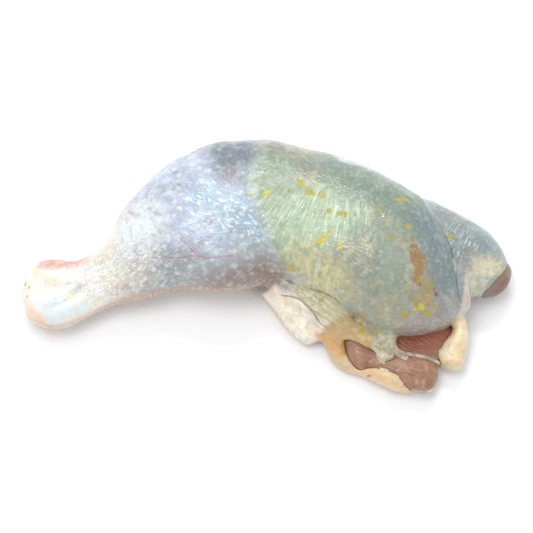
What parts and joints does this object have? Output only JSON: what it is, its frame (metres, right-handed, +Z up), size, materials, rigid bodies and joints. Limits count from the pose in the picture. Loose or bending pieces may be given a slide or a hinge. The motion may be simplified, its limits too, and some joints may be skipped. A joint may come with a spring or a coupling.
{
  "type": "raw chicken leg",
  "caption": "Raw chicken leg, drumstick and thigh in one piece with the skin on, bent at the knee, with torn skin and flesh showing at the thigh's end.",
  "frame": {"origin": "on the board the leg lies on, under the middle of its bounding box", "axes": "+X from the hock at the drumstick's end to the hip at the thigh's end, +Y from the fold behind the knee to the front of the knee, +Z up"},
  "size_m": [0.2268, 0.1182, 0.0472],
  "materials": {
    "flesh": "wet raw meat",
    "skin": "moist raw skin with fat under it"
  },
  "bodies": {
    "root": {"flesh": "flesh", "skin": "skin"}
  },
  "joints": []
}
